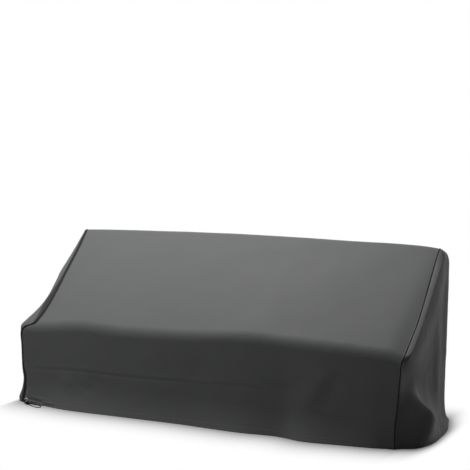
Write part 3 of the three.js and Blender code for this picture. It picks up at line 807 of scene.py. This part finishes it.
def main_panel():
    """The main panel as rows of points from seam to seam, raised by its creases and waves."""
    left, left_in, _ = seam_frames(LEFT_END, main_stations)
    right, right_in, _ = seam_frames(RIGHT_END, main_stations)
    share = (crowded(MAIN_COLUMNS, MAIN_CROWDING)[None] + 1) / 2
    x = mix(left[:, :1], right[:, :1], share)
    station = np.broadcast_to(main_stations[:, None], x.shape)
    points = form_points(x, station)
    points[:, 0] = left + left_in * TUCK
    points[:, -1] = right + right_in * TUCK

    middle = points[:, points.shape[1] // 2]
    run = np.concatenate([[0], np.cumsum(np.linalg.norm(np.diff(middle, axis=0), axis=1))])
    v = np.broadcast_to(run[:, None], x.shape)
    outward = np.cross(np.gradient(points, axis=1), np.gradient(points, axis=0))
    outward /= np.linalg.norm(outward, axis=-1, keepdims=True)

    lift = np.zeros_like(x)
    for crease in CREASES:
        start = np.array([crease.x0, crease.v0], float)
        line = np.array([crease.x1, crease.v1], float) - start
        offset = np.stack([x, v], -1) - start
        along = np.clip(offset @ line / (line @ line), 0, 1)
        away = np.linalg.norm(offset - along[..., None] * line, axis=-1)
        from_end = np.stack([along, 1 - along]) / CREASE_FADE
        fade = np.prod(smooth(from_end + CREASE_START), axis=0)
        lift += crease.rise * np.exp(-((away / crease.width) ** 2)) * fade
    lift += waves(MAIN_WAVES, x, v, MAIN_WAVES_SEED)

    from_left, from_right = np.abs(x - left[:, :1]), np.abs(x - right[:, :1])
    from_seam = np.minimum(from_left, from_right)
    # shade_seam is the distance at which the painted shade of the seam groove is read.
    shade_seam = np.minimum(from_left * LEFT_END.seam_shade, from_right * RIGHT_END.seam_shade)
    puckers = wander(v / MAIN_PUCKER_LENGTH, MAIN_PUCKER_SEED, MAIN_WAVES_SEED)
    lift += MAIN_PUCKER_RISE * puckers * np.exp(-from_seam / MAIN_PUCKER_REACH)
    lift -= SEAM_DIP * np.exp(-((from_seam / SEAM_DIP_REACH) ** 2))

    hem_height = np.minimum(v, run[-1] - v)
    lift = lift * kept_by_hem(hem_height) + hem_band(hem_height)
    lift *= np.clip((from_seam - MAIN_SEAM_EDGE) / MAIN_SEAM_HOLD, 0, 1)
    points += outward * lift[..., None]
    points[..., 2] = np.maximum(points[..., 2], 0)
    return sheet_mesh(points, {"cloth": (x, v), "hem": (x, hem_height), "seam": (shade_seam, v)})


def softened(values, share, rounds):
    """Evens out a grid of values: each goes its share of half the way to its neighbours' mean."""
    for _ in range(rounds):
        rim = np.pad(values, 1, mode="edge")
        around = (rim[:-2, 1:-1] + rim[2:, 1:-1] + rim[1:-1, :-2] + rim[1:-1, 2:]) / 4
        values = mix(values, around, share / 2)
    return values


def end_panel(end):
    """An end panel as square rings of points, from the middle of the end out to seam and hem."""
    stations = np.linspace(0, BACK_HEM_STATION, SEAM_STEPS)
    seam, inward, _ = seam_frames(end, stations)
    outline = seam[:, 1:]
    centre = np.array(END_CENTRE, float)
    steps = crowded(END_RINGS, END_CROWDING)
    up, across = np.meshgrid(steps, steps, indexing="ij")
    ring = np.maximum(np.abs(up), np.abs(across))
    whole = np.where(ring == 0, 1, ring)
    a, b = across / whole, up / whole
    on_front, on_back = a == -1, a == 1
    on_hem = (b == -1) & ~on_front & ~on_back

    up_edge, along_top = (b + 1) / 2, (a + 1) / 2
    station = np.select(
        [on_front, on_back], [up_edge, BACK_HEM_STATION - up_edge], 1 + along_top)
    edge = np.stack([np.interp(station, stations, outline[:, k]) for k in (0, 1)], -1)
    hem_line = mix(outline[0], outline[-1], along_top[..., None])
    edge = np.where(on_hem[..., None], hem_line, edge)
    spot = mix(centre, edge, ring[..., None])
    y, z = spot[..., 0], spot[..., 1]
    x, distance = end_panel_x(end, outline, stations, y.ravel(), z.ravel())
    x, distance = x.reshape(y.shape), distance.reshape(y.shape)
    inside = smooth((distance - EVEN_FROM_SEAM) / EVEN_REACH) * smooth((z - EVEN_FROM_HEM) / EVEN_REACH)
    x = softened(x, inside, EVEN_ROUNDS)
    points = np.stack([x, y, z], -1)
    # Distance at which the painted shade of the seam groove is read, shortened around one station to widen
    # that painted shade.
    near_wide_shade = np.exp(-(((station - WIDE_SHADE_STATION) / WIDE_SHADE_REACH) ** 2))
    near_seam = np.hypot(distance, x - seam_x(end, station)) * end.seam_shade
    near_seam *= 1 - end.gathered * near_wide_shade

    seed = END_WAVES_SEED * end.side
    puckers = wander(END_PUCKER_SEED, station * END_PUCKERS, seed)
    lift = waves(END_WAVES, y, z, seed)
    lift += END_PUCKER_RISE * puckers * np.exp(-distance / END_PUCKER_REACH)
    lift *= smooth(distance / END_SEAM_HOLD) * kept_by_hem(z)
    hem_height = mix(ABOVE_HEM, z, smooth(distance / HEM_END))
    lift += hem_band(hem_height) * smooth(distance / HEM_END_RISE)
    points[..., 0] += end.side * lift

    rim = (ring == 1) & ~on_hem
    seam_edge = seam - inward * TUCK
    points[rim] = np.stack(
        [np.interp(station[rim], stations, seam_edge[:, k]) for k in range(3)], -1)
    points[..., 2] = np.maximum(points[..., 2], 0)

    along_seam = station * STATION_LENGTH
    return sheet_mesh(points, {"cloth": (y, z), "hem": (y, z), "seam": (near_seam, along_seam)})


def thickened(piece, facing):
    """Gives a cloth piece its thickness inwards, once its faces point along facing."""
    mesh = piece.data
    if sum((polygon.normal * polygon.area for polygon in mesh.polygons), Vector()).dot(facing) < 0:
        mesh.flip_normals()
    solid = piece.modifiers.new("cloth_thickness", "SOLIDIFY")
    solid.thickness = CLOTH * MM
    solid.offset = -1


PIPING_STEPS, PIPING_SIDES = 420, 12
PIPING_END_HEIGHT = 0.3  # the piping's centre line ends this high above the floor

cloth_finish = cover_cloth()
main_cloth = finished("main_panel_cloth", main_panel(), cloth_finish)
thickened(main_cloth, Vector((0, -1, 1)))
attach(main_cloth, "root")
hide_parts("main_panel")

piping_finish = piping_cloth()
for end in (LEFT_END, RIGHT_END):
    end_cloth = finished("side_panel_cloth_" + end.name, end_panel(end), cloth_finish)
    thickened(end_cloth, Vector((end.side, 0, 0)))
    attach(end_cloth, "root")
    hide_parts("side_panel_" + end.name)

    seam, _, out = seam_frames(end, np.linspace(0, BACK_HEM_STATION, PIPING_STEPS))
    seam = seam - out * SOLID_CLOTH / 2
    seam[:, 2] = np.maximum(seam[:, 2], PIPING_END_HEIGHT)
    piping = tube(
        "piping_" + end.name, placed(seam), PIPING_RADIUS * MM, PIPING_SIDES, piping_finish)
    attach(piping, "root")
    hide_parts("seam_piping_" + end.name)

# ---------------------------------------------------------------------------
# Eyelet, cord lock and button
# ---------------------------------------------------------------------------


def turned(profile, sides):
    """A closed ring or knob turned about Z from rows of (radius, height), in millimetres."""
    bm = bmesh.new()
    verts = [bm.verts.new((radius * MM, 0, height * MM)) for radius, height in profile]
    edges = [bm.edges.new(pair) for pair in zip(verts, verts[1:])]
    bmesh.ops.spin(
        bm, geom=verts + edges, cent=(0, 0, 0), axis=(0, 0, 1), angle=FULL_TURN,
        steps=sides, use_merge=True)
    bmesh.ops.remove_doubles(bm, verts=bm.verts, dist=1e-7)
    bmesh.ops.recalc_face_normals(bm, faces=bm.faces)
    for face in bm.faces:
        face.smooth = True
    return bm


def seated(bm, direction, middle):
    """Turns a piece made about Z to face along a direction, at a place."""
    turn = Vector(direction).to_track_quat("Z", "Y").to_matrix()
    bmesh.ops.rotate(bm, verts=bm.verts, cent=(0, 0, 0), matrix=turn)
    bmesh.ops.translate(bm, verts=bm.verts, vec=Vector(middle))
    return bm


# Up the bore, over the front flange, in to the cloth's slot and out over the back washer.
EYELET_PROFILE = [
    (5.5, -2.4), (5.5, 1.9), (5.9, 2.5), (6.8, 2.85), (8.2, 2.9), (9.8, 2.6), (10.7, 2.1),
    (11, 1.5), (10.6, 0.6), (9, 0.2), (6.2, 0), (6.2, -1), (9, -1.1), (10.8, -1.4), (11, -2),
    (10.4, -2.6), (8, -2.8), (6, -2.7), (5.5, -2.4),
]
EYELET_SIDES = 48

eyelet_mesh = seated(turned(EYELET_PROFILE, EYELET_SIDES), eyelet_out, placed(eyelet_middle))
eyelet = finished("eyelet_ring", eyelet_mesh, eyelet_metal())
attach(eyelet, "root")
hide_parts("corner_eyelet")

# The lock is a barrel along the cord with one flat channel for its two strands, ribbed for the
# fingers at both ends, and its button comes up through a collar.
LOCK_SEAT = (-962, -60, 7.4)
LOCK_HEADING = -25.8
LOCK_HALF = 15
LOCK_RADIUS = 7.3
LOCK_END_RADIUS = 5.8
LOCK_TAPER = (6, 14)  # the barrel narrows between these distances from its middle
LOCK_ROUND = 0.8
LOCK_SIDES = 40
LOCK_ROWS = 64
STRAND_SPACING = 2.3
CHANNEL_RADIUS = 2.3
CHANNEL_ROWS = 12
RIB_PITCH = 2.1
RIB_RISE = 0.32
RIB_SINK = 0.6  # of its rise, how far a rib's middle height lies under the barrel's skin
RIBS_FROM, RIBS_IN = 5.6, 1.2
RIBS_TO, RIBS_OUT = 14.2, 0.8
COLLAR_PROFILE = [
    (3.7, 5.2), (3.7, 7.5), (3.85, 7.75), (4.2, 7.85), (4.7, 7.75), (5.0, 7.4), (5.3, 6.6),
    (5.5, 5.2), (3.7, 5.2),
]
BUTTON_PROFILE = [
    (0, 5.0), (3.4, 5.0), (3.4, 8.5), (3.3, 8.9), (3.05, 9.2), (2.7, 9.35), (2.3, 9.4),
    (1.9, 9.32), (1.0, 9.22), (0, 9.2),
]
BUTTON_SIDES = 32


def lock_barrel():
    """The barrel and its channel about the Y axis, as one closed skin."""
    along = np.linspace(-LOCK_HALF, LOCK_HALF, LOCK_ROWS)
    off = np.abs(along)
    taper = smooth((off - LOCK_TAPER[0]) / (LOCK_TAPER[1] - LOCK_TAPER[0]))
    radius = mix(LOCK_RADIUS, LOCK_END_RADIUS, taper)
    ribbed = smooth((off - RIBS_FROM) / RIBS_IN) * smooth((RIBS_TO - off) / RIBS_OUT)
    radius = radius + RIB_RISE * ribbed * (np.cos(FULL_TURN * along / RIB_PITCH) - RIB_SINK)
    rounded = np.clip((off - (LOCK_HALF - LOCK_ROUND)) / LOCK_ROUND, 0, 1)
    radius = radius - LOCK_ROUND * (1 - np.sqrt(1 - rounded**2))

    turn = (np.arange(LOCK_SIDES) + 0.5) * FULL_TURN / LOCK_SIDES
    circle = np.stack([np.cos(turn), np.sin(turn)], -1)
    apart = np.stack([np.sign(circle[:, 0]) * STRAND_SPACING, 0 * turn], -1)
    channel = np.broadcast_to(circle * CHANNEL_RADIUS + apart, (CHANNEL_ROWS, LOCK_SIDES, 2))
    skin = np.concatenate([circle[None] * radius[:, None, None], channel])
    y = np.concatenate([along, np.linspace(LOCK_HALF, -LOCK_HALF, CHANNEL_ROWS)])
    skin = np.stack([skin[..., 0], np.broadcast_to(y[:, None], skin.shape[:2]), skin[..., 1]], -1)
    skin = np.concatenate([skin, skin[:1]])
    return np.concatenate([skin, skin[:, :1]], axis=1) * MM


def on_lock(bm):
    """Lays a piece made along Y onto the cord's heading, at the lock's place."""
    turn = Matrix.Rotation(np.radians(LOCK_HEADING - 90), 3, "Z")
    bmesh.ops.rotate(bm, verts=bm.verts, cent=(0, 0, 0), matrix=turn)
    bmesh.ops.translate(bm, verts=bm.verts, vec=Vector(placed(LOCK_SEAT)))
    return bm


plastic_finish = lock_plastic()
barrel = lock_barrel()
bm = bmesh.new()
grid_surface(bm, barrel, {"cloth": barrel[..., :2]})
bmesh.ops.remove_doubles(bm, verts=bm.verts, dist=1e-6)
collar = turned(COLLAR_PROFILE, BUTTON_SIDES)
collar_mesh = bpy.data.meshes.new("collar")
collar.to_mesh(collar_mesh)
collar.free()
bm.from_mesh(collar_mesh)
bpy.data.meshes.remove(collar_mesh)
bmesh.ops.recalc_face_normals(bm, faces=bm.faces)
cord_lock = finished("cord_lock_barrel", on_lock(bm), plastic_finish)
button_mesh = on_lock(turned(BUTTON_PROFILE, BUTTON_SIDES))
lock_button = finished("cord_lock_press_button", button_mesh, plastic_finish)
for piece, solid in ((cord_lock, "cord_lock"), (lock_button, "cord_lock_button")):
    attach(piece, "root")
    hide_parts(solid)

# ---------------------------------------------------------------------------
# Floor, backdrop and light, in metres
# ---------------------------------------------------------------------------

FLOOR_EDGE = 30
FLOOR_ACROSS, FLOOR_COLUMNS = 1.6, 201  # the floor's grid is fine this far either way
FLOOR_DEPTH, FLOOR_ROWS = 1.1, 111
FRONT_STEPS, BACK_STEPS, END_STEPS = 60, 12, 40  # of the footprint's outline
PAINTED_SHADOW_REACH = 0.3  # the painted shadow on the floor has faded out this far in front of the hem
PAINTED_SHADOW_LEFT, PAINTED_SHADOW_RIGHT = 13, 6  # and this many times nearer beside its ends
# The painted shadow is shifted by this much, and takes this share of the white away at the hem.
PAINTED_SHADOW_SHIFT = (0.004, -0.01)
PAINTED_SHADOW_DEPTH = 0.86
UNSEEN_PAPER = (0.09, 0.09, 0.09)  # so that the floor throws little light up on the cover
SEEN_PAPER = (0.45, 0.45, 0.45)
ROOM_LIGHT = 0.03


def hem_outline():
    """The cover's footprint on the floor, in metres, as a closed line of points."""
    front_x = np.linspace(-SEAMS[0].left, SEAMS[0].right, FRONT_STEPS)
    back_x = np.linspace(SEAMS[-1].right, -SEAMS[-1].left, BACK_STEPS)
    front = form_points(front_x, 0)[:, :2]
    back = form_points(back_x, BACK_HEM_STATION)[:, :2]
    sides = []
    for end, start, stop in ((RIGHT_END, front[-1, 1], back[0, 1]), (LEFT_END, back[-1, 1], front[0, 1])):
        stations = np.linspace(0, BACK_HEM_STATION, SEAM_STEPS)
        outline = seam_frames(end, stations)[0][:, 1:]
        y = np.linspace(start, stop, END_STEPS)
        x, _ = end_panel_x(end, outline, stations, y, np.zeros_like(y))
        sides.append(np.stack([x, y], -1))
    points = np.concatenate([front, sides[0], back, sides[1]])
    return placed(np.pad(points, ((0, 0), (0, 1))))[:, :2]


def floor_surface():
    """The floor's grid, and how far each point of it lies from the hem."""

    def lines(reach, count):
        return np.concatenate([[-FLOOR_EDGE], np.linspace(-reach, reach, count), [FLOOR_EDGE]])

    across, depth = np.meshgrid(lines(FLOOR_ACROSS, FLOOR_COLUMNS), lines(FLOOR_DEPTH, FLOOR_ROWS))

    def widened(spots):
        side = np.where(spots[..., 0] < 0, PAINTED_SHADOW_LEFT, PAINTED_SHADOW_RIGHT)
        return np.stack([spots[..., 0] * side, spots[..., 1]], -1)

    line = widened(hem_outline() + PAINTED_SHADOW_SHIFT)
    spots = widened(np.stack([across, depth], -1).reshape(-1, 1, 2))
    start, run = line[None], np.roll(line, -1, axis=0)[None] - line[None]
    away = np.min(nearest(spots, start, run)[1], axis=1)
    crossed = (start[..., 1] > spots[..., 1]) != (start[..., 1] + run[..., 1] > spots[..., 1])
    rise = np.where(run[..., 1] == 0, 1e-12, run[..., 1])
    reach = start[..., 0] + run[..., 0] * (spots[..., 1] - start[..., 1]) / rise
    inside = np.sum(crossed & (spots[..., 0] < reach), axis=1) % 2 == 1
    away = np.where(inside, 0, away).reshape(across.shape)
    return np.stack([across, depth, 0 * across], -1), away


def stage_finish():
    """White paper with a painted shadow: to the camera and in mirrors and glass it shows as lit paper near
    the cover, blending to plain white emission with distance from the hem, so the shadow's fall-off is
    painted; the lit paper keeps the cover's real shadow.
    """
    finish = Finish("white_paper", Roughness=1.0)
    finish.set(Specular_IOR_Level=0.0)
    seen, mirrored, through = (
        finish.node("ShaderNodeLightPath", output=ray)
        for ray in ("Is Camera Ray", "Is Glossy Ray", "Is Transmission Ray"))
    shown = seen.larger(mirrored).larger(through)
    _, away, _ = finish.uv("shadow")
    # Painted shadow: near the hem the paper shows only as lit, and it blends to plain white emission with
    # distance from the hem.
    painted_shadow = finish.node("ShaderNodeMapRange", inputs={0: away, 1: 0.0, 2: PAINTED_SHADOW_REACH, 3: 1.0, 4: 0.0})
    far = 1 - painted_shadow * painted_shadow * PAINTED_SHADOW_DEPTH
    finish.set(Base_Color=finish.blend(shown, UNSEEN_PAPER, SEEN_PAPER))
    glow = finish.tree.nodes.new("ShaderNodeEmission")
    either = finish.tree.nodes.new("ShaderNodeMixShader")
    finish.plug(either.inputs[0], far * shown)
    finish.tree.links.new(finish.surface.outputs[0], either.inputs[1])
    finish.tree.links.new(glow.outputs[0], either.inputs[2])
    finish.tree.links.new(either.outputs[0], finish.tree.nodes["Material Output"].inputs["Surface"])
    return finish.material


bm = bmesh.new()
floor_points, hem_distance = floor_surface()
grid_surface(bm, floor_points, {"shadow": np.stack([hem_distance, hem_distance], -1)})
bmesh.ops.recalc_face_normals(bm, faces=bm.faces)
floor = finished("floor", bm, stage_finish())


def studio_world():
    """A dim white room, which looks plain white from the camera and in mirrors and glass."""
    world = bpy.data.worlds.new("studio")
    bpy.context.scene.world = world
    world.use_nodes = True
    nodes, links = world.node_tree.nodes, world.node_tree.links
    room = nodes["Background"]
    room.inputs["Color"].default_value = (1, 1, 1, 1)
    room.inputs["Strength"].default_value = ROOM_LIGHT
    white = nodes.new("ShaderNodeBackground")
    white.inputs["Color"].default_value = (1, 1, 1, 1)
    seen = nodes.new("ShaderNodeLightPath")
    shown = seen.outputs["Is Camera Ray"]
    for ray in ("Is Glossy Ray", "Is Transmission Ray"):
        either = nodes.new("ShaderNodeMath")
        either.operation = "MAXIMUM"
        links.new(shown, either.inputs[0])
        links.new(seen.outputs[ray], either.inputs[1])
        shown = either.outputs[0]
    both = nodes.new("ShaderNodeMixShader")
    links.new(shown, both.inputs[0])
    links.new(room.outputs[0], both.inputs[1])
    links.new(white.outputs[0], both.inputs[2])
    links.new(both.outputs[0], nodes["World Output"].inputs["Surface"])


def lamp(name, place, target, size, power):
    """A rectangular softbox, in watts, turned from its place to its target."""
    data = bpy.data.lights.new(name, "AREA")
    data.shape = "RECTANGLE"
    data.size, data.size_y = size
    data.energy = power
    light = bpy.data.objects.new(name, data)
    bpy.context.scene.collection.objects.link(light)
    light.location = place
    light.rotation_euler = (Vector(place) - Vector(target)).to_track_quat("Z", "Y").to_euler()


studio_world()
lamp("overhead_softbox", (-0.9, 0.4, 3.4), (0, 0, 0.5), (3.2, 2.2), 134)
lamp("front_fill", (-0.7, -3, 3), (-0.3, 0, 0.5), (2, 2), 16)
lamp("left_fill", (-3, -2, 1.2), (-0.5, 0, 0.3), (1.5, 1.5), 13)
lamp("right_fill", (3, 1.8, 2), (0.9, 0, 0.5), (1.5, 1.5), 10)

bpy.context.scene.view_settings.view_transform = "Standard"
